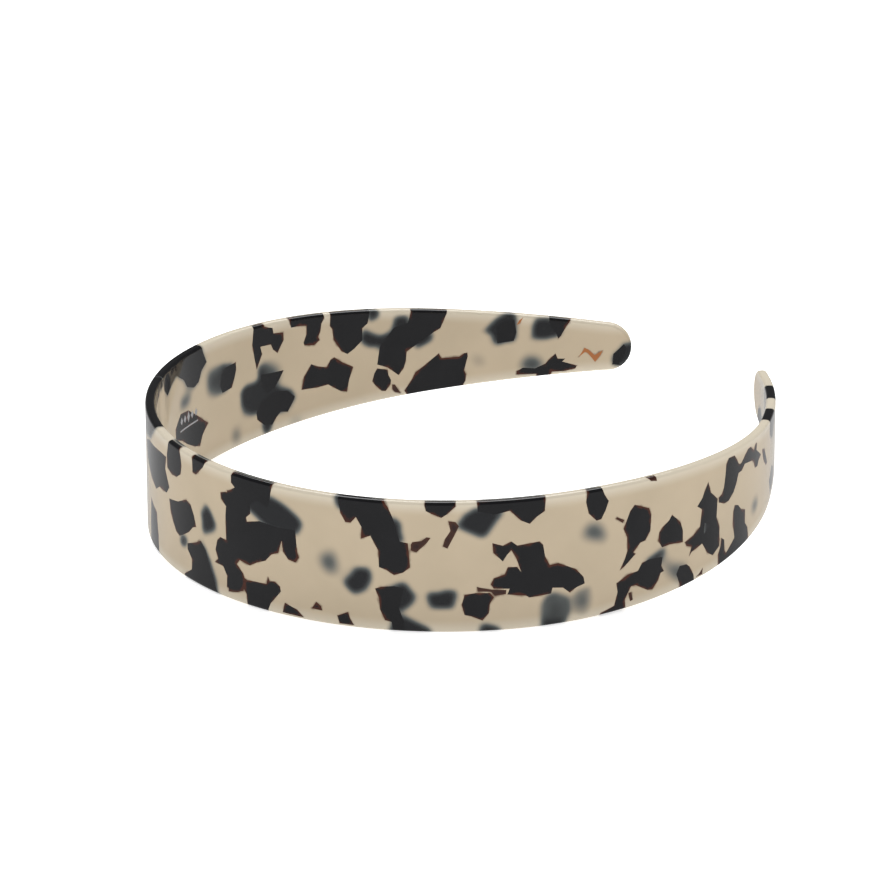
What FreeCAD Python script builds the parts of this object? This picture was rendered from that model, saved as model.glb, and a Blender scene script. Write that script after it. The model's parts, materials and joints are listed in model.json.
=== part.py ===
import FreeCAD, Part
import os
from math import acos, cos, sin, degrees, radians, sqrt

V = FreeCAD.Vector

# Driving dimensions, mm.  The band stands on its long edge: +Z runs across its width,
# the crown is at -X and the mouth between the two tips faces +X.
WIDTH = 28.0            # width of the band over the crown
THICK = 2.1             # thickness of the acetate sheet
CROWN_R = 62.0          # bend radius of the middle of the sheet over the crown
CROWN_TURN = 71.5       # degrees turned by that bend on each side
SIDE_R = 74.0
SIDE_TURN = 53.0
ARM_R = 143.0
ARM_TURN = 18.0
TAPER_START = 30.0      # depth behind the crown where the band starts to narrow
TAPER_R = 678.0         # radius of the long edge, seen from the side
EDGE_R = 0.7            # tumbled edge rounding
CHIP_DEPTH = 0.9        # how deep a surface chip reaches into the sheet
SPREAD = 18.0           # degrees one half can be sprung outwards
CLEAR = 0.3             # gap left at the crown when fully spread
FOIL = 0.12             # thickness of the pressed-in foil
SPECK = 0.15            # smallest chip kept, mm3
STATIONS = 12           # sections through each tapering arm
MID = WIDTH / 2.0

BENDS = [(CROWN_R, radians(CROWN_TURN)), (SIDE_R, radians(SIDE_TURN)), (ARM_R, radians(ARM_TURN))]
LENGTH = sum(r * a for r, a in BENDS)
KERF = THICK / 2.0 * sin(radians(SPREAD)) + CLEAR

# Chips of dark sheet pressed into the cream one.  Each outline is given on the unrolled band:
# (distance along the band from the crown, height above mid width).  Left arm +, right arm -.
# Layer "outer" and "inner" chips lie in that face of the sheet, "through" chips in both.
CHIPS = [
    ("right_crown_outer", "outer", [
        [(-12.2, 15), (-11.6, 12.5), (-11.2, 10.2), (-10.6, 8.6), (-8.4, 9.6), (-6.4, 8.4),
         (-6.3, 6.3), (-5.2, 5.3), (-5.4, 4.4), (-8.6, 5.3), (-13, 5), (-17.2, 5.2), (-17.6, .5),
         (-18, -.6), (-17.2, -1.8), (-15.5, -1.5), (-14.3, 0), (-14, 2.2), (-13.2, -.5),
         (-11.5, -1.3), (-10, -3), (-8, -3.8), (-6, -5), (-3.3, -4.5), (-2.5, -5.6),
         (-4.2, -7.2), (-4.7, -8.6), (-4.2, -11), (-2.5, -11.8), (-.2, -12.3), (1, -12),
         (1, 9), (0, 9.5), (-2.2, 11), (-1.2, 11.8), (-1.2, 13.3), (-2.2, 15)],
        [(-12.3, -7), (-11, -7.2), (-10.6, -6.3), (-10.2, -8), (-7, -8.2), (-5.3, -8.4),
         (-4.1, -8), (-4.1, -10.3), (-5, -11.4), (-5.4, -15), (-10, -15), (-11.2, -12),
         (-13.7, -8.9), (-13.5, -7.8)],
        [(-14.6, -11.1), (-14.1, -13.3), (-19, -13.4), (-17.4, -12)],
        [(-21.8, -9.5), (-20.8, -11.1), (-23.1, -11.2), (-22.8, -10.3)]]),
    ("right_crown_inner", "inner", [
        [(-19.1, 6.8), (-17, 8.8), (-14.5, 10.2), (-12, 11.2), (-9, 11.4), (-5.5, 9.8),
         (-5.2, 8), (-6.4, 6.8), (-9.6, 4.9), (-12, 4), (-17.6, 4.2)],
        [(-26, 2.8), (-22, .3), (-24.5, -3.5), (-26.5, -2)]]),
    ("right_shoulder_outer", "outer", [
        [(-35, 15), (-36.8, 12.8), (-37.8, 10.5), (-38.6, 7.5), (-39.2, 5.5), (-40.8, 5.2),
         (-41.1, 1.5), (-41.2, 0), (-39.8, -1.2), (-38, -1.8), (-36.5, -.8), (-35, -.3),
         (-34.9, 3.2), (-33.3, 6.3), (-31.4, 5.5), (-31.5, 8), (-30.4, 10), (-29.3, 8.7),
         (-28.2, 8.7), (-27.2, 10.5), (-26.8, 12.5), (-26.6, 15)],
        [(-40, -4.6), (-38, -4.2), (-35.5, -4.5), (-34.2, -5), (-35, -7), (-35.2, -9.5),
         (-36.2, -11.7), (-37.5, -12), (-38, -15), (-40.5, -15), (-39.9, -11.5), (-39, -9)],
        [(-28.6, -10.7), (-26.3, -11.8), (-26.8, -13.4), (-29.8, -13.4), (-29, -12)]]),
    ("right_shoulder_inner", "inner", [
        [(-34, 15), (-31, 11.5), (-27, 11), (-25.9, 12.5), (-25.8, 15)],
        [(-37.5, 11), (-39.4, 9.5), (-39.9, 5.4), (-37, 4), (-35.6, 8)],
        [(-33.7, -2.6), (-32.8, -.4), (-30.2, -.9), (-27.3, -4.3), (-29.8, -6.8), (-32.4, -5.6)],
        [(-40, -3), (-42.6, -6.4), (-40.4, -9.4), (-37, -9.8), (-36, -5)],
        [(-46.2, -15), (-45, -12.9), (-42, -11.4), (-39.5, -10.3), (-37.5, -11), (-37, -15)],
        [(-50.3, -4.6), (-44.4, -5.4), (-45, -9), (-50.2, -8.6)]]),
    ("right_side_outer", "outer", [
        [(-50.3, 15), (-50.2, 13.2), (-48.6, 11.6), (-47.4, 10.8), (-45.6, 11.6), (-44.4, 12.2),
         (-44.1, 13.4), (-44.3, 15)],
        [(-68.4, 15), (-68.1, 11), (-66.5, 10), (-65, 8.6), (-63.2, 9.5), (-61, 11.8),
         (-58, 11.2), (-54.6, 12), (-54.4, 15)],
        [(-67, 4.6), (-62.5, 4.2), (-61.3, 5.2), (-59.6, 4.4), (-57.5, 5.1), (-57.7, 3),
         (-59.6, 1), (-60.4, 2.3), (-61.3, 3.3), (-62.3, 1.5), (-63.3, -1.6), (-62.5, -.4),
         (-60.6, -.3), (-60, -1.8), (-57.8, -2.5), (-57.2, -3.8), (-57.8, -4.7), (-61, -5),
         (-60.5, -6.2), (-64.3, -6.8), (-65, -7.3), (-69.5, -7), (-69.8, -5.8), (-72, -6.1),
         (-73.5, -7.4), (-75, -6.5), (-76.8, -6), (-76.5, -4.5), (-74.8, -2.5), (-71, -.6),
         (-69.2, -.8), (-68.2, 1.3), (-67.8, 3.8)],
        [(-57, -5.6), (-54.2, -5.5), (-52, -5.8), (-51.4, -8), (-52, -10.2), (-53.3, -10.5),
         (-55.5, -11.5), (-56.8, -10), (-57, -8), (-57.8, -6.6)]]),
    ("right_side_inner", "inner", [
        [(-60, 12), (-57.5, 8.5), (-55.8, 6.2), (-53, 7.5), (-50.2, 9), (-52, 11.5), (-54.5, 13)],
        [(-78, -6.8), (-74.5, -7.8), (-75, -11.5), (-77, -13), (-78.2, -10)],
        [(-73.5, -8.5), (-70, -6.8), (-67.8, -8), (-67.2, -15), (-72, -15), (-73.8, -11)],
        [(-59, -13.2), (-55.2, -12), (-55.2, -15), (-60, -15)]]),
    ("right_temple_outer", "outer", [
        [(-80.2, 15), (-77.4, 15), (-77, 11.5), (-77.6, 9), (-79.4, 7.1), (-80.5, 7.2),
         (-81.5, 9), (-82.2, 10.8), (-81.2, 12.4)],
        [(-90, 8), (-88.5, 8.6), (-87.4, 7.5), (-86.5, 5.5), (-85.8, 4), (-86.7, 2),
         (-86.8, -1), (-86.2, -2.6), (-85, -4.8), (-86.2, -4.2), (-88.9, -2.1), (-88.3, -1.7),
         (-90, 0), (-91.3, .2), (-92.6, 2), (-92.8, 5.4), (-92.2, 7)],
        [(-98.5, 3.9), (-97.7, 2.9), (-96, 2), (-95, 1), (-94.8, -.8), (-95.8, -2.5),
         (-98, -2.4), (-101.8, -3), (-101.8, -.5), (-101.1, 1.5), (-99.8, 2.8)],
        [(-96, -4.6), (-92.5, -4.2), (-90.5, -4.5), (-89.5, -6), (-87, -6.2), (-84.2, -7.5),
         (-84.5, -9.5), (-83.7, -12.3), (-80.5, -13.2), (-80.5, -15), (-86.5, -15),
         (-86.3, -11.5), (-87.8, -9), (-89, -9), (-92, -10.8), (-93.3, -11), (-94.8, -9.5),
         (-95.5, -8), (-96.4, -7.8), (-95.7, -6.5)],
        [(-103, -8.2), (-101, -8), (-100, -9.5), (-101, -12), (-101.5, -15), (-106, -15),
         (-105.3, -11.2), (-104, -9)]]),
    ("right_temple_inner", "inner", [
        [(-80, 6.5), (-77, 7), (-76, 4), (-79, 3), (-81.5, 1.8), (-82, 3.5)],
        [(-97, -2.5), (-94, -3.2), (-91, -4.5), (-92, -6.4), (-96.5, -5.8)],
        [(-103, -8), (-99, -7), (-97.2, -5.4), (-96.4, -7), (-98, -9.5), (-101, -11.5),
         (-103, -11)]]),
    ("right_arm_outer", "outer", [
        [(-109.8, 7.8), (-108.5, 6), (-107.8, 4.8), (-106.2, 3.5), (-107.8, 2.4), (-107.2, -1.2),
         (-105, -2.5), (-102.4, -3.2), (-103, -4.2), (-104.5, -4.8), (-103.8, -6.8),
         (-104.6, -6), (-108, -5.2), (-109.8, -7.8), (-111.8, -9), (-114.2, -7.7),
         (-114.2, -3.5), (-113, -1), (-113.3, 3), (-110.8, 5.2)],
        [(-121, 9.2), (-120, 10.3), (-117.5, 10.6), (-116.5, 9.5), (-116.2, 7), (-115.7, 4.7),
         (-115, 3.5), (-113.7, 3.1), (-113.8, 2), (-116, 1.1), (-117.8, 1.1), (-119.8, 2.3),
         (-121, 3.8), (-122, 5.8), (-123.5, 5.8), (-125, 6.8), (-129, 6.1), (-130, 5.5),
         (-131, 3.8), (-132.5, 3.6), (-133.5, 4.8), (-135, 5.3), (-133.5, 6.3), (-131.7, 7.5),
         (-132, 9), (-131, 9.1), (-130, 8), (-128, 9.5), (-126.5, 9.5), (-123, 7.5),
         (-122, 7.8)],
        [(-120.5, -.8), (-119.8, -2), (-119.7, -4.5), (-120.5, -8), (-119, -9), (-117, -10.2),
         (-116.4, -9.5), (-116.2, -7), (-115, -6.2), (-114.7, -8), (-113.8, -9.5), (-114.2, -15),
         (-127.5, -15), (-127.5, -10.5), (-127, -8), (-125.6, -6.5), (-125.5, -3.5),
         (-123.6, -2.8), (-122, -1.3)]]),
    ("right_arm_inner", "inner", [
        [(-133.2, -3.6), (-130.5, -2.8), (-128.6, -4.6), (-130.6, -6.4), (-133.6, -5.6)],
        [(-113, -2), (-110.8, 2.2), (-108.9, 1), (-108.2, -4), (-111.6, -7.4), (-113.4, -5)],
        [(-121, 8.4), (-118.2, 9.4), (-117, 7), (-117.4, 2.6), (-120, 4)]]),
    ("right_tip_outer", "outer", [
        [(-136, 6), (-138, 5.5), (-141, 1.3), (-139.5, 1.3), (-137, 3.5)],
        [(-148, -2), (-144, -4), (-146, -7.5), (-152, -6.5), (-153, -4)]]),
    ("right_tip_through", "through", [
        [(-143.5, 12), (-153.5, 12), (-153, 6.5), (-148.5, 4), (-144.4, 6)],
        [(-161.5, 10), (-172, 10), (-173.5, 3.4), (-168.5, 1.2), (-163.5, 3.6)],
        [(-178, -9), (-176.5, -3.6), (-180.5, -1), (-184, -2.6), (-185, -9)]]),
    ("left_crown_outer", "outer", [
        [(-1, -12), (.5, -11.5), (.4, -9), (1.5, -7.2), (4, -7), (3, -6), (3.8, -4.2),
         (3.2, -2), (2.2, -1), (.5, -1.2), (.6, 4), (.4, 6.2), (1.8, 7.5), (2, 8.8), (0, 9.5),
         (-1, 9.5)],
        [(6, 15), (7.5, 12.6), (9.9, 10.3), (11.2, 10.4), (11.4, 15)],
        [(17, 15), (16, 12.5), (15.6, 10.4), (16, 8.4), (17.8, 7.2), (20, 7), (22.4, 7.7),
         (22.5, 10.5), (21.8, 13), (20.8, 15)],
        [(14, 3.5), (15.5, 2.8), (17.5, 1.9), (21.7, 1.1), (21, -1.5), (20, -3.2), (18.5, -5),
         (17, -5.5), (15, -4.5), (13, -3.3), (11.5, -1.8), (10.3, -1.3), (11, 1), (12.2, 3)],
        [(8.6, -3.8), (10.5, -4.8), (13.7, -6), (13.7, -7.3), (12, -9), (12.2, -11.3),
         (15, -13.1), (15.5, -15), (3, -15), (4.5, -11), (6, -8), (7, -5.5)]]),
    ("left_crown_inner", "inner", [
        [(6.5, 5.3), (8.3, 2.5), (8, -2.2), (5.5, -1), (3.8, 0), (3.5, 1.5)],
        [(8.3, -3.4), (5.6, -7), (3.6, -11), (3, -15), (8, -15), (9.6, -8)],
        [(13.5, -5), (16.5, -5), (17, -7), (14.5, -7.5)],
        [(31, 12.6), (34, 10), (41, 8.8), (49, 9.6), (56.5, 11.2), (58, 12.8), (45, 12)]]),
    ("left_shoulder_outer", "outer", [
        [(23, 9.8), (26, 9.8), (31.5, 9.3), (36, 9), (40, 7.5), (39, 4), (34, 1.5), (30, .2),
         (27.5, 1.6), (23, 1.9), (21.6, 3.6), (23.6, 7)],
        [(30, -5), (35, -3.8), (36, -9), (36.3, -15), (28.5, -15), (29, -10)],
        [(46, 12), (51, 10.5), (53.5, 6), (50, 4.6), (46.5, 7)],
        [(49, -6), (55, -4.5), (57.5, -9), (54, -12), (50, -10.5)]]),
    ("left_shoulder_through", "through", [
        [(29, 15), (30.4, 13.2), (36, 12.2), (45, 11.8), (53, 12.2), (59.8, 11.9), (59.7, 15)],
        [(60.5, 15), (62, 10.5), (64.5, 8.4), (66.5, 9.5), (70, 11), (74, 8.6), (75.5, 6.5),
         (78.5, 5.4), (80.5, 6), (81.8, 8.3), (83.8, 9.6), (82.4, 12.3), (81.5, 15)]]),
    ("left_shoulder_inner", "inner", [
        [(42, 2), (49, 4.5), (52, -1), (47.5, -5), (42, -3.5)],
        [(69, -1), (72, 1.5), (76, 1), (80, -1.5), (84.2, -4.5), (82, -6.5), (80.8, -8.7),
         (78.7, -8.2), (75, -6.4), (72.5, -4.8), (69, -3.5)],
        [(58, -15), (60, -9.5), (66.5, -8.5), (70, -11), (70.5, -15)]]),
    ("left_side_inner", "inner", [
        [(91, 6.2), (94.5, 6.5), (94.6, 4.8), (94, 3), (93, 1), (89.8, .7), (89, 2.5), (89.5, 5)],
        [(100.6, 15), (103.3, 15), (103.6, 12.3), (106, 11.5), (106.2, 10.2), (109, 9.8),
         (109.1, 8), (107.3, 5.4), (106, 6.5), (105.4, 7.8), (102.3, 8), (102.8, 6.2),
         (101.1, 3), (100.5, 5.5), (99.8, 9)],
        [(102.3, 1.5), (105, 1.2), (109, 1), (108, -.5), (106.2, -2.7), (104, -3.2), (102.5, -1.5)],
        [(100.8, -7), (102.5, -4.6), (106, -3.4), (110, -4), (112, -5.8), (111.7, -6.6),
         (110, -9), (108, -8.5), (106.8, -9.5), (105.5, -11), (103.2, -10.4), (102, -9.5),
         (101, -8.6)]]),
    ("left_side_outer", "outer", [
        [(71.5, 4.8), (76.8, 5), (77, 2.5), (72, 2)],
        [(84, 7), (88, 7.4), (93.6, 6.6), (93.8, 4), (91.5, 1), (87, .6), (84, 2.5)],
        [(101.4, 3.4), (103.5, 4.2), (106.5, 3.6), (108.8, 1.2), (107, -2), (110.8, -3.8),
         (112.2, -6), (110, -9), (104, -8.5), (102, -7.4), (99, -7.2), (96.6, -6.2), (96, -3),
         (95.8, -.8), (98, .4), (101.4, .2)],
        [(92.5, -9), (95, -8.3), (96, -12), (93.5, -12.5)]]),
    ("left_temple_inner", "inner", [
        [(110.3, 15), (110.8, 11.5), (111.2, 10.4), (113.8, 10.3), (115.3, 10), (115.3, 8),
         (114.5, 6.2), (114.8, 5.5), (117.3, 5.1), (118.8, 6), (118.4, 6.8), (119, 8),
         (119.3, 9.8), (120, 10.9), (119.8, 15)],
        [(116.5, .8), (118, 0), (120.5, -.7), (121.5, .9), (122.5, 1.3), (124.5, -.2),
         (127.2, -1.7), (126.2, -4.5), (125.6, -7.3), (124, -6.9), (120.8, -4.8), (118, -5),
         (113.8, -4.7), (114.5, -1.8), (115.5, -.5)],
        [(121.8, 15), (121.4, 8.8), (122, 8), (122.3, 5.5), (124.3, 2.4), (125.8, 1.5),
         (127.5, 2.5), (129.5, 4.2), (129.5, 7), (130.8, 8), (131.3, 10.5), (131.5, 15)]]),
    ("left_temple_outer", "outer", [
        [(102.5, -9.5), (106, -9.5), (105, -12.3), (103, -12.6)],
        [(110.5, -11), (114, -11), (114, -15), (110.5, -15)],
        [(130, 15), (133.3, 15), (133.3, 9), (131, 8)],
        [(129.5, 7), (133, 5), (134, 2.5), (131.5, 2), (129, 4)]]),
    ("left_arm_inner", "inner", [
        [(140.6, 15), (141, 9.5), (140.3, 7), (137, 6.2), (135, 3.8), (133.6, 2), (133, -2),
         (135.5, -3), (138.1, -5.1), (139.3, -3.5), (139.8, -2), (140, .3), (143.5, 2.5),
         (146.5, 4.5), (147.8, 5.2), (149, 8), (149.8, 9.8), (150, 15)],
        [(133, -2.9), (135.5, -3.5), (135.7, -4.8), (136.3, -6), (136.2, -7), (135, -8.5),
         (134, -8.3), (132.5, -6.8), (131.8, -5.8), (132.3, -4)],
        [(147.4, -.7), (148, -1.9), (152, -1.8), (153.2, -1), (153.9, -.9), (154, -1.8),
         (153.2, -5), (153.6, -6), (153.5, -7.5), (153, -8.4), (152.5, -12), (141.5, -12),
         (139.4, -8.9), (141.2, -6.3), (142, -4.8), (144.5, -3)]]),
    ("left_arm_outer", "outer", [
        [(137, 9), (140.4, 8.5), (141.5, 4), (137.5, 3), (133.5, .8), (133, 4.5), (136.6, 5.5)],
        [(141.5, 3.4), (146, 5), (146, 2.5), (142, .5)],
        [(154.5, -1), (157.5, -2.5), (158, -4.5), (155.5, -3.5)]]),
    ("left_tip_inner", "inner", [
        [(160.5, 5), (162, 6.3), (164.5, 6.5), (165, 3.5), (164.4, 1.5), (160.7, 1)],
        [(172.2, 10), (172.4, 5), (174, 3), (174.4, 1.9), (175, 2.6), (176.3, 5), (177.4, 6.5),
         (177.6, 10)],
        [(173.8, -1.6), (174.3, -2.8), (176, -2.8), (175.3, -3.5), (178.6, -4.4), (178.3, -5.1),
         (175.5, -5.8), (173, -5.9), (171.5, -9), (169.5, -9), (169.5, -6.4), (165, -6.5),
         (165, -5.7), (166.5, -4.9), (169.2, -5.1), (171.5, -4), (172.3, -3)]]),
    ("left_tip_outer", "outer", [
        [(158.5, 5), (160.5, 7), (164.5, 8.6), (165.2, 5), (164.8, 1.6), (161, .8), (160, 0),
         (159.5, 3), (157.2, 4)],
        [(169, 6.6), (173, 6.6), (175.5, 4), (174.2, 2.1), (171, 1.9), (168.2, 1.8)],
        [(165.6, -4.4), (167.5, -1.8), (169.5, -2.4), (171.5, -4), (170.5, -5.6),
         (166, -5.6)]]),
    ("left_tip_through", "through", [
        [(189.4, 1.2), (192, 1), (192, -4), (186.6, -4), (186.8, -1.5), (188, -.3)]]),
    ("right_amber_slivers", "outer", [
        [(-45.3, 6.5), (-44.5, 6.6), (-43.5, 5.8), (-41.7, 5.5), (-41.4, 4.9), (-41.4, 3.7),
         (-42.5, 3.3), (-44.5, 5.3)],
        [(-50.9, 9), (-50.2, 9.9), (-48.8, 10.1), (-49.2, 8), (-48.1, 6.2), (-47.7, 4.7),
         (-48.6, 4.2), (-49.6, 6.2)],
        [(-60.3, -5.2), (-57.3, -4.9), (-54.4, -4.2), (-54.6, -5.2), (-57.2, -5.4),
         (-58, -6.3), (-60.2, -6.1)],
        [(-86, 5.9), (-84.2, 6.9), (-83.9, 6.6), (-85.6, 5.3)],
        [(-94.2, 12.4), (-94, 13.8), (-91.4, 13.8), (-92.6, 12.8)],
        [(-87.9, -10.2), (-87.1, -10.3), (-87.6, -12.2), (-88.3, -12)],
        [(-106, -12), (-107, -11.6), (-108.4, -10.6), (-108.2, -12)]]),
    ("left_amber_slivers", "inner", [
        [(136.5, -7.1), (137.2, -7.2), (138.5, -9.3), (137.2, -9), (136.6, -8.3)],
        [(165, 5.2), (165.8, 5.6), (166.5, 7), (165.6, 6.3)],
        [(179, -2.4), (180.3, -.2), (181.2, -.6), (182.6, -1.9), (184.4, -.7), (183.9, -1.9),
         (182.7, -3.5), (182, -2.6), (181, -1.4), (180.4, -1.2)]]),
]

# Light gaps left inside a chip.
GAPS = {"right_arm_outer": [[(-110.7, -2.1), (-108.8, -.9), (-108.6, -3.2)]]}

# Plain pressed-in foil ornament: a row of lozenges over a rule, on the inner face.
FOIL_AT = (72.5, -.4)
FOIL_STEP = 1.7
FOIL_COUNT = 5


def place(s, k):
    """Point and outward normal of the band at distance s from the crown, k outside its middle."""
    x, y, turn, left = 0.0, 0.0, 0.0, abs(s)
    for i, (r, a) in enumerate(BENDS):
        u = left / r if i == 2 else min(left / r, a)
        x += r * (cos(turn) - cos(turn + u))
        y += r * (sin(turn + u) - sin(turn))
        turn += u
        left -= r * u
        if left < 1e-9:
            break
    side = 1.0 if s >= 0 else -1.0
    nx, ny = -cos(turn), sin(turn)
    return V(x + nx * k, side * (y + ny * k), 0), V(nx, side * ny, 0)


def wall(k_in, k_out, extra):
    """C-shaped slab between two offsets of the middle of the sheet, full width."""
    ends = [LENGTH + extra]
    stops = [0.0]
    for r, a in BENDS[:2]:
        stops.append(stops[-1] + r * a)
    stops.append(ends[0])
    marks = [-s for s in reversed(stops[1:])] + stops
    edges = []
    for k in (k_out, k_in):
        for a, b in zip(marks[:-1], marks[1:]):
            pts = [place(v, k)[0] for v in (a, (a + b) / 2.0, b)]
            edges.append(Part.Arc(*pts).toShape())
    for s in (marks[0], marks[-1]):
        edges.append(Part.makeLine(place(s, k_in)[0], place(s, k_out)[0]))
    ring = Part.Wire(Part.__sortEdges__(edges))
    return Part.Face(ring).extrude(V(0, 0, WIDTH))


def half_height(s):
    """Half the width of the band at distance s from the crown."""
    d = max(place(abs(s), 0)[0].x - TAPER_START, 0.0)
    return MID - (TAPER_R - sqrt(TAPER_R ** 2 - d * d))


def tip_start():
    """Distance from the crown at which the round tip starts."""
    s = LENGTH
    for i in range(40):
        s = LENGTH - half_height(s)
    return s


def rim(s, low):
    """Corner points of the rounded strip section at s, from height low up to the top edge."""
    p, out = place(s, 0)
    h, t, e = half_height(s), THICK / 2.0, EDGE_R
    q = e * (1 - sqrt(.5))
    flat = [(t, low), (t, h - e), (t - q, h - q), (t - e, h), (-t + e, h), (-t + q, h - q),
            (-t, h - e), (-t, low)]
    return [V(p.x + out.x * a, p.y + out.y * a, MID + b) for a, b in flat]


def rounded(points):
    """Line, arc, line, arc, line through eight rim points."""
    a, b, c, d, e, f, g, h = points
    return [Part.makeLine(a, b), Part.Arc(b, c, d).toShape(), Part.makeLine(d, e),
            Part.Arc(e, f, g).toShape(), Part.makeLine(g, h)]


def section(s):
    """Closed outline of the strip cut square across at s."""
    up = rim(s, 0.0)
    down = [V(p.x, p.y, 2 * MID - p.z) for p in reversed(up)]
    edges = rounded([down[7]] + up[1:7] + [down[0]])
    edges[0] = Part.makeLine(down[6], up[1])
    edges[4] = Part.makeLine(up[6], down[1])
    edges += rounded(down)[1:4]
    return Part.Wire(Part.__sortEdges__(edges))


def tip(s):
    """Round end of the strip: the upper half of its section turned about its middle."""
    p, out = place(s, 0)
    edges = rounded(rim(s, 0.0))
    edges.append(Part.makeLine(rim(s, 0.0)[7], rim(s, 0.0)[0]))
    upper = Part.Face(Part.Wire(Part.__sortEdges__(edges)))
    end = upper.revolve(V(p.x, p.y, MID), out, 180)
    other = upper.revolve(V(p.x, p.y, MID), out, -180)
    ahead = place(s + 1, 0)[0] - p
    reach = (end.CenterOfMass - V(p.x, p.y, MID)).dot(ahead)
    return end if reach > 0 else other


def blank():
    """The whole band cut to outline and tumbled, before it is told apart into pieces."""
    level = CROWN_R * acos(1 - TAPER_START / CROWN_R)
    face = Part.Face(section(-level))
    crown = face.revolve(V(CROWN_R, 0, 0), V(0, 0, 1), -2 * degrees(level / CROWN_R))
    last = tip_start()
    marks = [level + (last - level) * i / (STATIONS - 1.0) for i in range(STATIONS)]
    arm = Part.makeLoft([section(s) for s in marks], True, False)
    arms = [arm, tip(last)]
    arms += [piece.mirror(V(0, 0, 0), V(0, 1, 0)) for piece in arms]
    return crown.multiFuse(arms)


def prism(outline, layer):
    """Straight plug through the sheet with the given outline."""
    middle = sum(p[0] for p in outline) / len(outline)
    out = place(middle, 0)[1]
    k = -THICK / 2.0 if layer == "inner" else THICK / 2.0
    origin = place(middle, 0)[0]
    pts = []
    for s, z in outline:
        p = place(s, k)[0]
        p = p - out * (p - origin).dot(out) - out * 6
        pts.append(V(p.x, p.y, MID + z))
    return Part.Face(Part.makePolygon(pts + pts[:1])).extrude(out * 12)


def solids_of(shape, smallest):
    return [s for s in shape.Solids if s.Volume > smallest]


def plugs(outlines, layer, skin, gaps, others):
    """Oversize plugs that mark out one group of chips, kept clear of the plugs already placed."""
    found = []
    for outline in outlines:
        plug = prism(outline, layer)
        if skin:
            plug = plug.common(skin)
        for gap in gaps:
            plug = plug.cut(prism(gap, layer))
        near = [p for p in others + found if p.BoundBox.intersect(plug.BoundBox)]
        if near:
            plug = plug.cut(near)
        found += solids_of(plug, .01)
    return found


def foil_outlines():
    s0, z0 = FOIL_AT
    shapes = []
    for i in range(FOIL_COUNT):
        s = s0 + i * FOIL_STEP
        h = 1.3 if i == FOIL_COUNT // 2 else 0.9
        shapes.append([(s - .6, z0), (s, z0 + h), (s + .6, z0), (s, z0 - h)])
    end = s0 + (FOIL_COUNT - 1) * FOIL_STEP
    shapes.append([(s0 - .8, z0 - 2.3), (end + .8, z0 - 2.3), (end + .8, z0 - 1.95),
                   (s0 - .8, z0 - 1.95)])
    return shapes


def build():
    whole = blank()
    reach = max(p.x for p in whole.tessellate(.01)[0])
    shift = V((THICK / 2.0 - reach) / 2.0, 0, 0)
    half_box = Part.makeBox(400, 200, 60, V(-100, KERF / 2.0, -10))
    halves = {"left": whole.common(half_box)}
    halves["right"] = whole.common(half_box.mirror(V(0, 0, 0), V(0, 1, 0)))
    face, grow = THICK / 2.0, 3.0
    skins = {"outer": wall(face - CHIP_DEPTH, face + grow, 5.0),
             "inner": wall(-face - grow, -face + CHIP_DEPTH, 5.0), "through": None}
    film = wall(-face - grow, -face + FOIL, 5.0)
    marks = plugs(foil_outlines(), "inner", film, [], [])
    nodes = {"foil_ornament": (halves["left"], marks)}
    taken = {"left": list(marks), "right": []}
    for name, layer, outlines in CHIPS:
        side = name.split("_")[0]
        found = plugs(outlines, layer, skins[layer], GAPS.get(name, []), taken[side])
        taken[side] += found
        nodes[name] = (halves[side], found)
    cuts = {"left": [], "right": []}
    for name, (half, found) in nodes.items():
        smallest = .001 if "foil" in name else SPECK
        kept = []
        for plug in found:
            pieces = solids_of(half.common(plug), smallest)
            if pieces:
                kept += pieces
                cuts["right" if name.startswith("right") else "left"].append(plug)
        nodes[name] = Part.makeCompound(kept)
    for side, half in halves.items():
        cream = solids_of(half.cut(cuts[side]), 1.0)
        nodes[side + "_cream_band"] = cream[0] if len(cream) == 1 else Part.makeCompound(cream)
    return nodes, shift


os.makedirs("parts", exist_ok=True)
nodes, shift = build()
print("shift", round(shift.x, 4))
for name, shape in sorted(nodes.items()):
    shape.translate(shift)
    shape.exportStep("parts/" + name + ".step")
    box = shape.BoundBox
    print(name, len(shape.Solids), "solids", round(shape.Volume, 2), "mm3",
          [round(v, 2) for v in (box.XMin, box.YMin, box.ZMin, box.XMax, box.YMax, box.ZMax)],
          "valid" if shape.isValid() else "NOT VALID")
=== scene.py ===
import json
import math

import bpy
import numpy as np
from mathutils import Matrix, Vector
from mathutils.bvhtree import BVHTree
from mathutils.kdtree import KDTree


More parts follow.
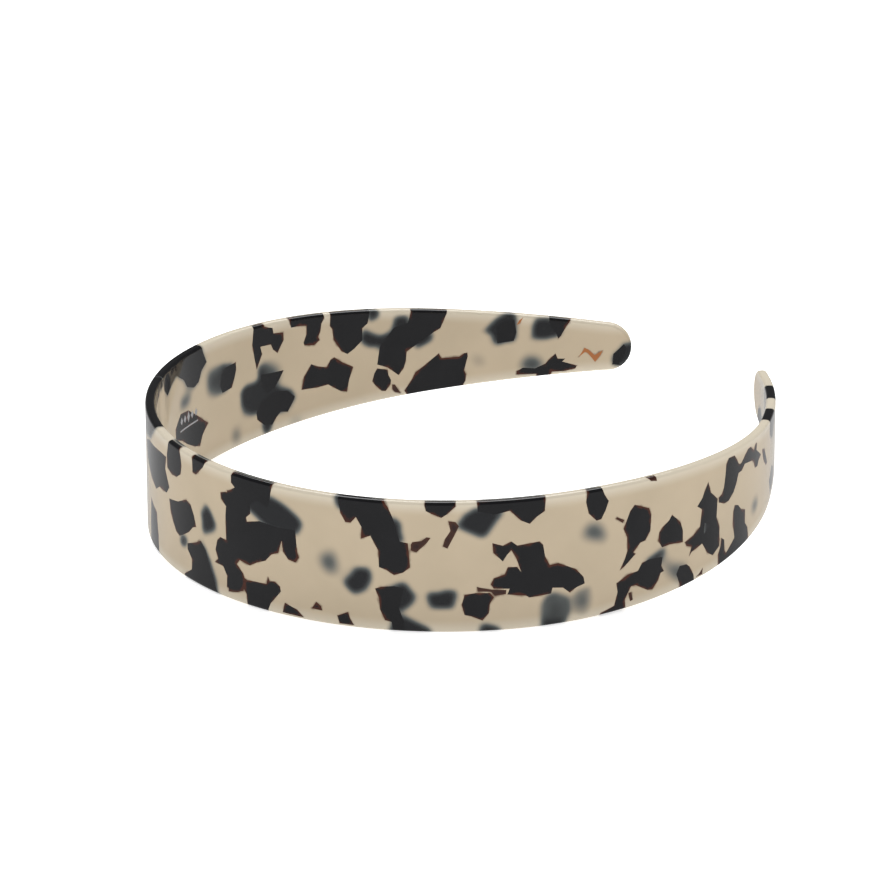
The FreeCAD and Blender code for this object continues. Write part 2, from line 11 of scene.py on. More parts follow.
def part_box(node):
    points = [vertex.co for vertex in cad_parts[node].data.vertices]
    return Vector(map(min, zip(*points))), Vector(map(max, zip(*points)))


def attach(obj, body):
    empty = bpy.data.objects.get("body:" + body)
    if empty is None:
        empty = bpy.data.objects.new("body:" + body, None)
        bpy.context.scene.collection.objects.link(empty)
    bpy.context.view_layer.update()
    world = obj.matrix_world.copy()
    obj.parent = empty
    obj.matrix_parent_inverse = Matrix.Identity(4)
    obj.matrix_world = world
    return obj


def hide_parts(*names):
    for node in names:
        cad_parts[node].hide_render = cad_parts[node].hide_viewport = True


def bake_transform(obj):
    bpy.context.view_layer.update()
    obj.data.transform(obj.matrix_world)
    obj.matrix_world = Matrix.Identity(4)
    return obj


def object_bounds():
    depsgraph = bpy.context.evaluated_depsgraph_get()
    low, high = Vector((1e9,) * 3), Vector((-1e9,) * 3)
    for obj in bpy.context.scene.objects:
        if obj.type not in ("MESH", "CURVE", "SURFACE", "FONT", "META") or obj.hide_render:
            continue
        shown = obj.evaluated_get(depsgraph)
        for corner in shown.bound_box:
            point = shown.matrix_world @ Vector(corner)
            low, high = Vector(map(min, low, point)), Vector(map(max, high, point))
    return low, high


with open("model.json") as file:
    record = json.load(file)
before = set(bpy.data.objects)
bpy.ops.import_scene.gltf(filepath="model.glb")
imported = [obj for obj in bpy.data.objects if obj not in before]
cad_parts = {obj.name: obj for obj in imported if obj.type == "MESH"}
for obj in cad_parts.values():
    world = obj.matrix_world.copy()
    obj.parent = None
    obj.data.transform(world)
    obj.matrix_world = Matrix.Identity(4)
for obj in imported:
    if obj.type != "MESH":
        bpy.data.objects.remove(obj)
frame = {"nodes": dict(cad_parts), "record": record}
CAD_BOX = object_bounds()

# ---------------------------------------------------------------------------
# Sizes, in metres.  s runs along the band from the crown (left arm +, right
# arm -), k through its thickness (+ outwards) and z up across its width.

MM = 0.001
WIDTH = 28.0 * MM
THICK = 2.1 * MM
MID = WIDTH / 2
EDGE_R = 0.7 * MM            # tumbled edge rounding
EDGE_ROWS = 4
RIM_ROW = 0.76 * MM          # first row in from the edge, just past the rounding
TIP_SHARE = 0.06             # share of the sheet's columns that goes round each tip
TIP_ROUNDS = 40              # rounds to settle where the tip starts
BENDS = [(62.0 * MM, math.radians(71.5)),
         (74.0 * MM, math.radians(53.0)),
         (143.0 * MM, math.radians(18.0))]
TAPER_START = 30.0 * MM
TAPER_R = 678.0 * MM
LENGTH = sum(r * a for r, a in BENDS)
CROWN_X = CAD_BOX[0][0] + THICK / 2      # middle of the sheet at the crown

SHEET_STEP = 0.55 * MM       # spacing of the sheet's columns and rows
SAME_POINT = 0.001 * MM      # points this close are one point
PROUD = 0.3 * MM             # how far a punch stands out of the sheet it cuts
HALF_GAP = 0.4 * MM          # half the gap that the CAD leaves at the crown
FLEX = 18.0 * MM             # the crown bends over this far to each side
SKIN = 0.03 * MM             # what lies this close to the polished skin is on it
SEAM_STEP = 0.1 * MM         # spacing of the points along a line where chip meets cream
NO_SEAM = 1000 * MM          # seam distance on a piece that meets no other

MAP_STEP = 0.5 * MM          # cell of the flat maps of what lies under the skin
NEAR_BLUR = 0.7 * MM         # how far the cream scatters the edge of a chip just under it
DEEP_BLUR = 1.3 * MM
# Chips that lie deeper: where (s, z), how far the cream over them reaches, all in mm, and
# how much of their shade still shows
FAINT = [(-24, 0, 5, 0.8), (-70.5, -10.5, 3, 0.75), (-76.5, -10, 3, 0.75),
         (-79, 4.5, 5, 0.8), (-99, -8, 5, 0.75), (-131, -5, 5, 0.75), (74, 3.5, 5, 0.9),
         (85.5, 4, 5, 0.8), (94, -10.5, 6, 0.75), (109, 4, 6, 0.6), (112, -11.5, 4, 0.6),
         (156, -3, 5, 0.75), (168.5, -3.5, 5, 0.9)]

# Colours as on a paint card
CREAM_DEEP = "AB9D86"
CREAM_PALE = "BBAB93"
# painted light: the paler cream within 3 mm of the rounded rim, where light scatters in
CREAM_RIM_PAINTED_GLOW = "CDC5B4"
BURIED_EDGE = "5A5E5D"       # a dark chip through a millimetre of cream
BURIED_CORE = "1B1C1E"
CHIP_DEEP = "0E0E10"
CHIP_PALE = "171719"
CHIP_EDGE = "401E12"
AMBER_DEEP = "2A1A18"
AMBER_PALE = "482B1E"
AMBER_CLEAR = "9A6038"       # the thin slivers out on the arms
FOIL_SILVER = "D8D8DA"
POLISH = 0.06                # roughness of waxed acetate
ACETATE_IOR = 1.48
PAPER_WHITE = "FAFAFA"
PAPER_ROUGH = 0.9

ROOM_LIGHT = 1.0
FRONT_GLOW = 0.55            # what the gloss mirrors: floor in front, floor behind, ceiling
BACK_GLOW = 0.75
CEILING_GLOW = 0.12
PAPER_GLOW = 0.55            # the paper is lit from below as well, so it stays white
FLOOR_SIZE = 8.0
VIEW_AZIMUTH = math.radians(-45.692)
VIEW_ELEVATION = math.radians(20.669)
VIEW_DISTANCE = 1.14049
VIEW_TARGET = Vector((0.000135, 0.0, 0.014))
LENS = 217.55
SHIFT = (-0.03032, 0.00213)


# ---------------------------------------------------------------------------
# The band's line: flat sheet to bent band and back

def bend_table():
    """Start distance, start angle, radius and centre of each bend."""
    rows, x, y, turn, s = [], 0.0, 0.0, 0.0, 0.0
    for r, a in BENDS:
        rows.append((s, turn, r, x + r * math.cos(turn), y - r * math.sin(turn)))
        x += r * (math.cos(turn) - math.cos(turn + a))
        y += r * (math.sin(turn + a) - math.sin(turn))
        turn += a
        s += r * a
    return rows


LINE = bend_table()


def bend_points(flat):
    """(s, k, z) of the flat sheet to (x, y, z) of the bent band, and the outward normal."""
    s, k, z = np.abs(flat[:, 0]), flat[:, 1], flat[:, 2]
    side = np.where(flat[:, 0] < 0, -1.0, 1.0)
    row = np.searchsorted([l[0] for l in LINE], s, side="right") - 1
    row = np.clip(row, 0, len(LINE) - 1)
    start, turn, r, cx, cy = np.array(LINE)[row].T
    angle = turn + (s - start) / r
    nx, ny = -np.cos(angle), np.sin(angle)
    x = cx + nx * (r + k) + CROWN_X
    y = side * (cy + ny * (r + k))
    return np.c_[x, y, z + MID], np.c_[nx, side * ny, 0 * nx]


def unroll_points(co):
    """(x, y, z) of the bent band back to (s, k, z) of the flat sheet."""
    x, y = co[:, 0] - CROWN_X, np.abs(co[:, 1])
    side = np.where(co[:, 1] < 0, -1.0, 1.0)
    s, k = np.zeros(len(co)), np.zeros(len(co))
    for i, (start, turn, r, cx, cy) in enumerate(LINE):
        angle = np.arctan2(y - cy, cx - x)
        here = angle >= turn - 1e-9 if i else np.ones(len(co), bool)
        s = np.where(here, start + r * (angle - turn), s)
        k = np.where(here, np.hypot(x - cx, y - cy) - r, k)
    return np.c_[s * side, k, co[:, 2] - MID]


def half_height(s):
    """Half the band's width at distance s from the crown, before the tip is rounded."""
    flat = np.c_[np.abs(np.atleast_1d(s)), np.zeros(np.size(s)), np.zeros(np.size(s))]
    d = np.maximum(bend_points(flat)[0][:, 0] - CROWN_X - TAPER_START, 0)
    return MID - (TAPER_R - np.sqrt(TAPER_R ** 2 - d * d))


def tip_start():
    """Where the round tip starts: its radius is half the band's width there."""
    s = LENGTH
    for _ in range(TIP_ROUNDS):
        s = LENGTH - float(half_height(s)[0])
    return s


TIP_S = tip_start()
TIP_R = LENGTH - TIP_S


def coordinates(mesh):
    co = np.empty(len(mesh.vertices) * 3)
    mesh.vertices.foreach_get("co", co)
    return co.reshape(-1, 3)


def move_points(mesh, co):
    mesh.vertices.foreach_set("co", np.asarray(co, float).ravel())
    mesh.update()


# ---------------------------------------------------------------------------
# Bench tools

def lone(obj):
    bpy.ops.object.select_all(action="DESELECT")
    obj.select_set(True)
    bpy.context.view_layer.objects.active = obj


def apply_modifier(obj, kind, **settings):
    lone(obj)
    modifier = obj.modifiers.new(kind.title(), kind)
    for name, value in settings.items():
        setattr(modifier, name, value)
    bpy.ops.object.modifier_apply(modifier=modifier.name)


def copy_of(obj, name):
    new = bpy.data.objects.new(name, obj.data.copy())
    bpy.context.scene.collection.objects.link(new)
    return new


def weld(obj, distance, outward=False):
    lone(obj)
    bpy.ops.object.mode_set(mode="EDIT")
    bpy.ops.mesh.select_all(action="SELECT")
    bpy.ops.mesh.remove_doubles(threshold=distance)
    if outward:
        bpy.ops.mesh.normals_make_consistent(inside=False)
    bpy.ops.object.mode_set(mode="OBJECT")


# ---------------------------------------------------------------------------
# The sheet: cut to outline, given its thickness, tumbled, and bent

def cut_outline(mesh, rows):
    """Draw the flat grid's columns in to the band's outline, with round tips."""
    co = coordinates(mesh)
    t = co[:, 0] / np.abs(co[:, 0]).max()
    v = co[:, 1] / np.abs(co[:, 1]).max()
    straight = np.minimum(np.abs(t) / (1 - TIP_SHARE), 1.0)
    around = np.clip((np.abs(t) - (1 - TIP_SHARE)) / TIP_SHARE, 0, 1) * math.pi / 2
    s = straight * TIP_S
    h = half_height(s)
    lip = 1 - 2.0 / (rows - 1)                      # the row just inside the edge
    edge = np.abs(v) > (1 + lip) / 2
    inner = np.clip(v / lip, -1, 1)
    z = np.where(edge, np.sign(v) * h, inner * (h - RIM_ROW))
    r_row = np.where(edge, TIP_R, TIP_R - RIM_ROW)
    in_tip = around > 0
    s = np.where(in_tip, TIP_S + r_row * np.sin(around), s)
    scale = np.where(edge, np.sign(v), inner)
    z = np.where(in_tip, scale * r_row * np.cos(around), z)
    move_points(mesh, np.c_[np.sign(t) * s, z, np.zeros(len(s))])


def sheet_blank():
    """The polished blank with no pattern: a flat strip rounded all round, then bent."""
    columns = int(round(2 * LENGTH / SHEET_STEP)) + 1
    rows = int(round(WIDTH / SHEET_STEP)) + 1
    bpy.ops.object.select_all(action="DESELECT")
    bpy.ops.mesh.primitive_grid_add(x_subdivisions=columns - 1, y_subdivisions=rows - 1,
                                    size=1.0)
    blank = bpy.context.active_object
    blank.name = "band_blank"
    cut_outline(blank.data, rows)
    weld(blank, SAME_POINT)
    apply_modifier(blank, "SOLIDIFY", thickness=THICK, offset=0.0)
    apply_modifier(blank, "BEVEL", width=EDGE_R, segments=EDGE_ROWS, limit_method="ANGLE",
                   angle_limit=math.radians(50), use_clamp_overlap=False)
    weld(blank, SAME_POINT, outward=True)
    co = coordinates(blank.data)
    bent = bend_points(np.c_[co[:, 0], co[:, 2], co[:, 1]])[0]
    move_points(blank.data, bent)
    weld(blank, 1e-6, outward=True)
    return blank


def surface_normal(flat):
    """Distance to the rounded strip's surface and its outward direction, in (s, k, z)."""
    s, k, z = flat.T
    h = half_height(np.minimum(np.abs(s), TIP_S))
    past = np.maximum(np.abs(s) - TIP_S, 0)
    across = np.hypot(past, z)
    to_rim = np.where(past > 0, across - TIP_R, np.abs(z) - h)
    rim = np.where((past > 0)[:, None],
                   np.c_[np.sign(s) * past, 0 * s, z] / np.maximum(across, 1e-9)[:, None],
                   np.c_[0 * s, 0 * s, np.sign(z)])
    a = np.maximum(np.abs(k) - (THICK / 2 - EDGE_R), 0)
    b = np.maximum(to_rim + EDGE_R, 0)
    length = np.maximum(np.hypot(a, b), 1e-9)
    out = rim * (b / length)[:, None]
    out[:, 1] += np.sign(k) * a / length
    return length - EDGE_R, out


def punch(node):
    """A cutter for one group of chips: its CAD solid with the polished face pushed out."""
    cutter = copy_of(frame["nodes"][node], node + "_punch")
    weld(cutter, 2 * SAME_POINT)
    co = coordinates(cutter.data)
    near = np.abs(co[:, 1]) < HALF_GAP
    near &= co[:, 0] < 0
    co[near, 1] = 0.0
    flat = unroll_points(co)
    depth, out = surface_normal(flat)
    polished = depth > -SKIN
    flat[polished] += out[polished] * PROUD
    new = bend_points(flat)[0]
    new[near, 1] = 0.0
    move_points(cutter.data, new)
    return cutter


def cut_with(obj, cutter, operation):
    apply_modifier(obj, "BOOLEAN", object=cutter, operation=operation, solver="MANIFOLD")


# ---------------------------------------------------------------------------
# Every chip and the cream sheet come out of the one polished blank, each by its punch

def polished_pieces():
    """The cream band, all its chips by node, and the united punches."""
    blank = sheet_blank()
    nodes = sorted(n for n in frame["nodes"] if not n.endswith("cream_band"))
    chips, punches = {}, None
    for node in nodes:
        cutter = punch(node)
        chips[node] = copy_of(blank, node + "_inlay")
        cut_with(chips[node], cutter, "INTERSECT")
        if punches is None:
            punches = cutter
        else:
            cut_with(punches, cutter, "UNION")
            bpy.data.objects.remove(cutter)
    cut_with(blank, punches, "DIFFERENCE")
    blank.name = "cream_band"
    return blank, chips, punches


# ---------------------------------------------------------------------------
# What the eye sees inside the sheet: chips on the far face, veiled by the cream

def smear(grid, width):
    """Blur a flat map of the sheet by a bell curve of this width."""
    reach = int(3 * width / MAP_STEP)
    steps = range(-reach, reach + 1)
    weights = [math.exp(-0.5 * (i * MAP_STEP / width) ** 2) for i in steps]
    for axis in (0, 1):
        last = grid.shape[axis]
        grid = sum(w * grid.take(np.clip(np.arange(last) + i, 0, last - 1), axis)
                   for i, w in zip(steps, weights)) / sum(weights)
    return grid


def veil_maps(punches):
    """Flat maps of the chips under the inner skin and under the outer skin."""
    tree = BVHTree.FromObject(punches, bpy.context.evaluated_depsgraph_get())
    s = np.arange(-LENGTH, LENGTH, MAP_STEP)
    z = np.arange(-MID, MID + MAP_STEP / 2, MAP_STEP)
    flat = np.array([(a, 0.0, b) for a in s for b in z])
    at, out = bend_points(flat)
    found = [[tree.ray_cast(Vector(p), Vector(n) * side, THICK)[0] is not None
              for p, n in zip(at, out)] for side in (-1, 1)]
    shade, deep = np.ones(len(flat)), np.zeros(len(flat))
    for fs, fz, reach, share in FAINT:
        far = np.hypot(flat[:, 0] / MM - fs, flat[:, 2] / MM - fz)
        bell = np.exp(-(far / reach) ** 4)
        shade = np.minimum(shade, 1 - bell * (1 - share))
        deep = np.maximum(deep, bell)
    shade, deep = shade.reshape(len(s), len(z)), deep.reshape(len(s), len(z))
    maps = []
    for side in found:
        cover = np.array(side, float).reshape(len(s), len(z))
        maps.append(shade * ((1 - deep) * smear(cover, NEAR_BLUR)
                             + deep * smear(cover, DEEP_BLUR)))
    return maps


def read_map(grid, flat):
    """The map's value at each point of the flat sheet, between its cells."""
    a = np.clip((flat[:, 0] + LENGTH) / MAP_STEP, 0, grid.shape[0] - 1.001)
    b = np.clip((flat[:, 2] + MID) / MAP_STEP, 0, grid.shape[1] - 1.001)
    i, j = a.astype(int), b.astype(int)
    u, v = a - i, b - j
    return (grid[i, j] * (1 - u) * (1 - v) + grid[i + 1, j] * u * (1 - v)
            + grid[i, j + 1] * (1 - u) * v + grid[i + 1, j + 1] * u * v)


# ---------------------------------------------------------------------------
# Finish of each piece: smooth polished skin, and the maps that its acetate reads

def on_skin(flat):
    """Which points lie on the polished skin, not on a wall between cream and chip."""
    return np.abs(surface_normal(flat)[0]) < SKIN


def face_centres(mesh, points):
    corners, first = np.empty(len(mesh.loops), int), np.empty(len(mesh.polygons), int)
    mesh.loops.foreach_get("vertex_index", corners)
    mesh.polygons.foreach_get("loop_start", first)
    count = np.diff(np.append(first, len(corners)))
    return np.add.reduceat(points[corners], first) / count[:, None]


def seam_distance(obj, flat):
    """How far each corner is from the nearest line where cream and chip meet on the skin."""
    mesh = obj.data
    skin = on_skin(flat)
    wall_edges = set()
    for face, shown in zip(mesh.polygons, on_skin(face_centres(mesh, flat))):
        if not shown:
            wall_edges.update(face.edge_keys)
    tree_points = []
    for a, b in wall_edges:
        middle = (flat[a] + flat[b]) / 2
        if skin[a] and skin[b] and on_skin(middle[None])[0]:
            at_crown = max(abs(flat[a][0]), abs(flat[b][0])) < 0.01 * MM
            if not at_crown:
                length = np.linalg.norm(flat[a] - flat[b])
                for t in np.linspace(0, 1, 2 + int(length / SEAM_STEP)):
                    tree_points.append(flat[a] * (1 - t) + flat[b] * t)
    if not tree_points:
        return np.full(len(flat), NO_SEAM)
    tree = KDTree(len(tree_points))
    for i, p in enumerate(tree_points):
        tree.insert(p, i)
    tree.balance()
    return np.array([tree.find(p)[2] for p in flat])


def store(mesh, name, kind, values):
    field = {"FLOAT": "value", "FLOAT_VECTOR": "vector"}[kind]
    layer = mesh.attributes.new(name, kind, "POINT")
    layer.data.foreach_set(field, np.asarray(values, np.float32).ravel())


def polish(obj, veils):
    """Smooth normals straight from the sheet's own shape, and the maps for the acetate."""
    mesh = obj.data
    co = coordinates(mesh)
    flat = unroll_points(co)
    s, k, z = flat.T
    rim = half_height(np.minimum(np.abs(s), TIP_S)) - np.abs(z)
    store(mesh, "sheet_mm", "FLOAT_VECTOR", flat / MM)
    store(mesh, "rim_mm", "FLOAT", rim / MM)
    store(mesh, "seam_mm", "FLOAT", seam_distance(obj, flat) / MM)
    share = np.clip(0.5 + k / THICK, 0, 1)
    store(mesh, "veil", "FLOAT",
          share * read_map(veils[0], flat) + (1 - share) * read_map(veils[1], flat))

    # analytic normals on the skin, each wall face flat
    out = surface_normal(flat)[1]
    across = bend_points(flat)[1]
    along = np.c_[across[:, 1], -across[:, 0], np.zeros(len(s))]
    normal = (out[:, :1] * along + out[:, 1:2] * across
              + out[:, 2:] * np.array([[0.0, 0.0, 1.0]]))
    corners = np.empty(len(mesh.loops), int)
    mesh.loops.foreach_get("vertex_index", corners)
    shown = normal[corners]
    for face, skin in zip(mesh.polygons, on_skin(face_centres(mesh, flat))):
        face.use_smooth = True
        if not skin:
            shown[face.loop_start:face.loop_start + face.loop_total] = face.normal
    mesh.normals_split_custom_set(shown.tolist())


# ---------------------------------------------------------------------------
# Acetates and foil

def linear(code):
    """A colour written as on a paint card, such as C8B9A0, to linear light."""
    parts = [int(code[i:i + 2], 16) / 255 for i in (0, 2, 4)]
    return [p / 12.92 if p <= 0.04045 else ((p + 0.055) / 1.055) ** 2.4 for p in parts] + [1.0]


def add(tree, kind, inputs, **settings):
    """A node with its settings; each input is a number, a colour, or another node's output."""
    node = tree.nodes.new(kind)
    for name, value in settings.items():
        setattr(node, name, value)
    for name, value in inputs.items():
        if isinstance(value, bpy.types.NodeSocket):
            tree.links.new(value, node.inputs[name])
        else:
            node.inputs[name].default_value = value
    return node


def new_material(name):
    material = bpy.data.materials.new(name)
    material.use_nodes = True
    material.node_tree.nodes.clear()
    return material, material.node_tree


def surface_of(tree, colour, roughness, bump=None, **numbers):
    """The polished surface itself; numbers that are the same all over go on its own sockets."""
    inputs = {"Base Color": colour, "Roughness": roughness}
    inputs.update({name.replace("_", " "): value for name, value in numbers.items()})
    if bump is not None:
        inputs["Normal"] = bump
    shader = add(tree, "ShaderNodeBsdfPrincipled", inputs)
    add(tree, "ShaderNodeOutputMaterial", {"Surface": shader.outputs[0]})


def waviness(tree, sheet):
    """Tumbling leaves the skin very slightly wavy, 7 mm from crest to crest."""
    wave = add(tree, "ShaderNodeTexNoise", {"Vector": sheet, "Scale": 1 / 7.0, "Detail": 1.0})
    return add(tree, "ShaderNodeBump", {"Height": wave.outputs[0], "Strength": 0.25,
                                        "Distance": 0.00002}).outputs[0]


def backlit(tree, veil):
    """A chip's brown edge shows only where no other chip lies behind it."""
    return add(tree, "ShaderNodeMapRange", {"Value": veil, "From Min": 0.1, "From Max": 0.4,
                                            "To Min": 1.0, "To Max": 0.0}).outputs[0]


def cream_acetate():
    """Cellulose acetate in cream, tumbled and wax polished: a clear gloss over a milky body,
    in which the chips of the far face show as blurred blue-grey shadows."""
    material, tree = new_material("cream_acetate_tumbled")
    sheet = add(tree, "ShaderNodeAttribute", {}, attribute_name="sheet_mm").outputs["Vector"]
    veil = add(tree, "ShaderNodeAttribute", {}, attribute_name="veil").outputs["Fac"]
    rim = add(tree, "ShaderNodeAttribute", {}, attribute_name="rim_mm").outputs["Fac"]
    seam = add(tree, "ShaderNodeAttribute", {}, attribute_name="seam_mm").outputs["Fac"]

    # the milky body, clouded 14 mm across, with painted light: paler towards the rounded rim,
    # where light would scatter in
    cloud = add(tree, "ShaderNodeTexNoise", {"Vector": sheet, "Scale": 1 / 14.0, "Detail": 3.0})
    body = add(tree, "ShaderNodeMix", {0: cloud.outputs[0], 6: linear(CREAM_DEEP),
                                       7: linear(CREAM_PALE)}, data_type="RGBA")
    # painted light: the cream mixed towards a paler colour near the edge, standing in for light
    # let in by the rim
    painted_rim_glow = add(tree, "ShaderNodeMapRange", {"Value": rim, "From Min": 0.0, "From Max": 3.0,
                                            "To Min": 0.75, "To Max": 0.0},
               interpolation_type="SMOOTHSTEP")
    rim_lit_cream = add(tree, "ShaderNodeMix", {0: painted_rim_glow.outputs[0], 6: body.outputs[2],
                                         7: linear(CREAM_RIM_PAINTED_GLOW)}, data_type="RGBA")

    # chips on the far face, seen through the cream
    edge = add(tree, "ShaderNodeMapRange", {"Value": veil, "From Min": 0.05, "From Max": 0.65},
               interpolation_type="SMOOTHSTEP")
    grey = add(tree, "ShaderNodeMix", {0: edge.outputs[0], 6: rim_lit_cream.outputs[2],
                                       7: linear(BURIED_EDGE)}, data_type="RGBA")
    core = add(tree, "ShaderNodeMapRange", {"Value": veil, "From Min": 0.4, "From Max": 0.95},
               interpolation_type="SMOOTHSTEP")
    veiled = add(tree, "ShaderNodeMix", {0: core.outputs[0], 6: grey.outputs[2],
                                         7: linear(BURIED_CORE)}, data_type="RGBA")

    # a thin warm stain where a chip's brown edge bleeds into the cream
    fray = add(tree, "ShaderNodeTexNoise", {"Vector": sheet, "Scale": 0.35, "Detail": 4.0})
    reach = add(tree, "ShaderNodeMath", {0: fray.outputs[0], 1: -1.6, 2: seam},
                operation="MULTIPLY_ADD")
    stain = add(tree, "ShaderNodeMapRange", {"Value": reach.outputs[0], "From Min": -1.1,
                                             "From Max": -0.6, "To Min": 0.8, "To Max": 0.0})
    shown = add(tree, "ShaderNodeMath", {0: stain.outputs[0], 1: backlit(tree, veil)},
                operation="MULTIPLY")
    colour = add(tree, "ShaderNodeMix", {0: shown.outputs[0], 6: veiled.outputs[2],
                                         7: linear(CHIP_EDGE)}, data_type="RGBA")
    surface_of(tree, colour.outputs[2], POLISH, waviness(tree, sheet), IOR=ACETATE_IOR)
    return material


def dark_acetate():
    """Near-black acetate chips, polished with the sheet: deep gloss, with a thin
    see-through edge that lets red-brown light out, as dark acetate does where it is thin."""
    material, tree = new_material("dark_acetate_tumbled")
    sheet = add(tree, "ShaderNodeAttribute", {}, attribute_name="sheet_mm").outputs["Vector"]
    seam = add(tree, "ShaderNodeAttribute", {}, attribute_name="seam_mm").outputs["Fac"]
    veil = add(tree, "ShaderNodeAttribute", {}, attribute_name="veil").outputs["Fac"]
    cloud = add(tree, "ShaderNodeTexNoise", {"Vector": sheet, "Scale": 1 / 5.0, "Detail": 2.0})
    body = add(tree, "ShaderNodeMix", {0: cloud.outputs[0], 6: linear(CHIP_DEEP),
                                       7: linear(CHIP_PALE)}, data_type="RGBA")
    fray = add(tree, "ShaderNodeTexNoise", {"Vector": sheet, "Scale": 0.35, "Detail": 4.0})
    reach = add(tree, "ShaderNodeMath", {0: fray.outputs[0], 1: -2.4, 2: seam},
                operation="MULTIPLY_ADD")
    edge = add(tree, "ShaderNodeMapRange", {"Value": reach.outputs[0], "From Min": -1.3,
                                            "From Max": -0.75, "To Min": 1.0, "To Max": 0.0},
               interpolation_type="SMOOTHSTEP")
    shown = add(tree, "ShaderNodeMath", {0: edge.outputs[0], 1: backlit(tree, veil)},
                operation="MULTIPLY")
    colour = add(tree, "ShaderNodeMix", {0: shown.outputs[0], 6: body.outputs[2],
                                         7: linear(CHIP_EDGE)}, data_type="RGBA")
    surface_of(tree, colour.outputs[2], POLISH, waviness(tree, sheet), IOR=ACETATE_IOR)
    return material


def amber_acetate():
    """Brown amber acetate slivers, polished with the sheet: see-through brown, darker inside."""
    material, tree = new_material("amber_acetate_tumbled")
    sheet = add(tree, "ShaderNodeAttribute", {}, attribute_name="sheet_mm").outputs["Vector"]
    seam = add(tree, "ShaderNodeAttribute", {}, attribute_name="seam_mm").outputs["Fac"]
    streak = add(tree, "ShaderNodeTexNoise", {"Vector": sheet, "Scale": 0.5, "Detail": 3.0})
    reach = add(tree, "ShaderNodeMath", {0: streak.outputs[0], 1: 1.2, 2: seam},
                operation="MULTIPLY_ADD")
    inner = add(tree, "ShaderNodeMapRange", {"Value": reach.outputs[0], "From Min": 0.3,
                                             "From Max": 1.3})
    body = add(tree, "ShaderNodeMix", {0: inner.outputs[0], 6: linear(AMBER_PALE),
                                       7: linear(AMBER_DEEP)}, data_type="RGBA")
    along = add(tree, "ShaderNodeSeparateXYZ", {0: sheet}).outputs["X"]
    out = add(tree, "ShaderNodeMapRange", {"Value": along, "From Min": 140.0,
                                           "From Max": 150.0})
    colour = add(tree, "ShaderNodeMix", {0: out.outputs[0], 6: body.outputs[2],
                                         7: linear(AMBER_CLEAR)}, data_type="RGBA")
    surface_of(tree, colour.outputs[2], POLISH, waviness(tree, sheet), IOR=ACETATE_IOR)
    return material


def pressed_foil():
    """Hot-stamped silver foil: a bright metal film, grained finely by the cloth of the die pad."""
    material, tree = new_material("silver_foil_hot_stamped")
    sheet = add(tree, "ShaderNodeAttribute", {}, attribute_name="sheet_mm").outputs["Vector"]
    # the grain is about 0.05 mm; it is drawn at 0.2 mm to show at all
    grain = add(tree, "ShaderNodeTexNoise", {"Vector": sheet, "Scale": 5.0, "Detail": 2.0})
    rough = add(tree, "ShaderNodeMapRange", {"Value": grain.outputs[0], "To Min": 0.22,
                                             "To Max": 0.42})
    surface_of(tree, linear(FOIL_SILVER), rough.outputs[0], Metallic=1.0)
    return material


def finish_for(slot):
    return {"cream_acetate": cream_acetate, "dark_acetate": dark_acetate,
            "amber_acetate": amber_acetate, "pressed_foil": pressed_foil}[slot]()


# ---------------------------------------------------------------------------
# Studio

def look_from(azimuth, elevation):
    """Directions back, right and up of someone who looks at the band from there."""
    back = Vector((math.sin(azimuth) * math.cos(elevation),
                   -math.cos(azimuth) * math.cos(elevation), math.sin(elevation)))
    right = Vector((math.cos(azimuth), math.sin(azimuth), 0.0))
    return back, right, back.cross(right)


def camera():
    back, right, up = look_from(VIEW_AZIMUTH, VIEW_ELEVATION)
    data = bpy.data.cameras.new("camera")
    data.lens, data.sensor_width = LENS, 36.0
    data.shift_x, data.shift_y = SHIFT
    data.clip_start, data.clip_end = 0.01, 50.0
    cam = bpy.data.objects.new("camera", data)
    bpy.context.scene.collection.objects.link(cam)
    turn = Matrix((right, up, back)).transposed().to_4x4()
    cam.matrix_world = Matrix.Translation(VIEW_TARGET + back * VIEW_DISTANCE) @ turn
    bpy.context.scene.camera = cam


def softbox(name, azimuth, elevation, distance, size, watts, reflects=True):
    """A square soft light aimed at the band."""
    back, right, up = look_from(math.radians(azimuth), math.radians(elevation))
    data = bpy.data.lights.new(name, "AREA")
    data.shape, data.size, data.energy = "SQUARE", size, watts
    lamp = bpy.data.objects.new(name, data)
    bpy.context.scene.collection.objects.link(lamp)
    turn = Matrix((right, up, back)).transposed().to_4x4()
    lamp.matrix_world = Matrix.Translation(VIEW_TARGET + back * distance) @ turn
    lamp.visible_glossy = reflects


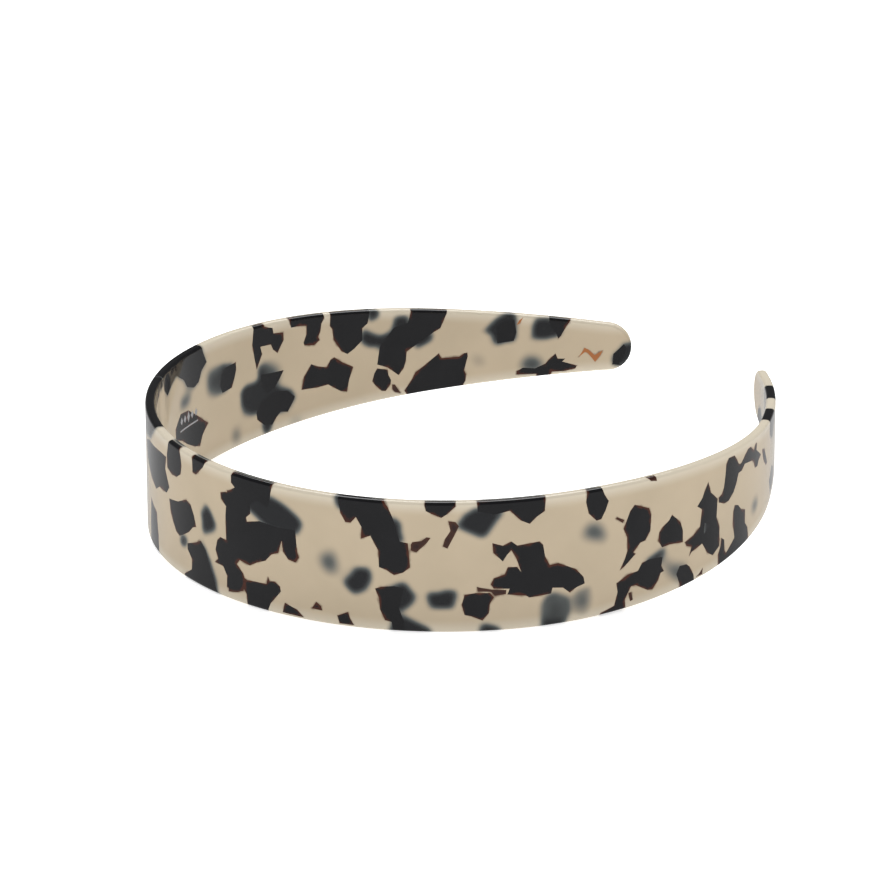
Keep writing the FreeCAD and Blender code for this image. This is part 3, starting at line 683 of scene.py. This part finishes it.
def studio():
    """White room for the body colour; the gloss mirrors a dim room with a pale floor, so
    that the dark chips look deep and only their rolled edges catch the softbox."""
    world = bpy.data.worlds.new("white_room")
    bpy.context.scene.world = world
    world.use_nodes = True
    tree = world.node_tree
    tree.nodes.clear()
    way = add(tree, "ShaderNodeTexCoord", {}).outputs["Generated"]
    front = look_from(VIEW_AZIMUTH, 0.0)[0]
    ahead = add(tree, "ShaderNodeVectorMath", {0: way, 1: front}, operation="DOT_PRODUCT")
    height = add(tree, "ShaderNodeSeparateXYZ", {0: way}).outputs["Z"]
    floor_glow = add(tree, "ShaderNodeMapRange",
                     {"Value": ahead.outputs["Value"], "From Min": -0.2, "From Max": -0.9,
                      "To Min": FRONT_GLOW, "To Max": BACK_GLOW},
                     interpolation_type="SMOOTHSTEP")
    rise = add(tree, "ShaderNodeMapRange", {"Value": height, "From Min": -0.25,
                                            "From Max": 0.1}, interpolation_type="SMOOTHSTEP")
    mirrored = add(tree, "ShaderNodeMix", {0: rise.outputs[0], 2: floor_glow.outputs[0],
                                           3: CEILING_GLOW})
    rays = add(tree, "ShaderNodeLightPath", {})
    level = add(tree, "ShaderNodeMix", {0: rays.outputs["Is Glossy Ray"], 2: ROOM_LIGHT,
                                        3: mirrored.outputs[0]})
    light = add(tree, "ShaderNodeBackground", {"Strength": level.outputs[0]})
    add(tree, "ShaderNodeOutputWorld", {"Surface": light.outputs[0]})

    bpy.ops.object.select_all(action="DESELECT")
    bpy.ops.mesh.primitive_plane_add(size=FLOOR_SIZE, location=(0, 0, 0))
    floor = bpy.context.active_object
    floor.name = "floor"
    floor.visible_glossy = False
    paper, tree = new_material("white_paper")
    surface_of(tree, linear(PAPER_WHITE), PAPER_ROUGH, Emission_Strength=PAPER_GLOW)
    floor.data.materials.append(paper)

    softbox("top_light", azimuth=134, elevation=62, distance=1.0, size=0.7, watts=8.0)
    bpy.context.scene.view_settings.view_transform = "Standard"


# ---------------------------------------------------------------------------
# Put together

def crosses_crown(node):
    low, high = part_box(node)
    return low.x < 0 and low.y < FLEX and high.y > -FLEX


def fit_to_body(obj, node):
    """Ride on the half that the node belongs to; a piece that crosses the crown is fixed where it
    stands, on neither half.
    """
    if crosses_crown(node):
        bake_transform(obj)
    else:
        body = [b for b, nodes in frame["record"]["behaviour"]["bodies"].items() if node in nodes]
        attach(obj, body[0])


cream, chips, punches = polished_pieces()
veils = veil_maps(punches)
bpy.data.objects.remove(punches)
slots = {part["node"]: part["material_slot"] for part in frame["record"]["subparts"]}
finishes = {slot: finish_for(slot) for slot in sorted(set(slots.values()))}

pieces = dict(chips, right_cream_band=cream)
for node, piece in sorted(pieces.items()):
    polish(piece, veils)
    piece.data.materials.clear()
    piece.data.materials.append(finishes[slots[node]])
    fit_to_body(piece, node)
    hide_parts(node)
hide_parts("left_cream_band")

camera()
studio()

bpy.context.view_layer.update()
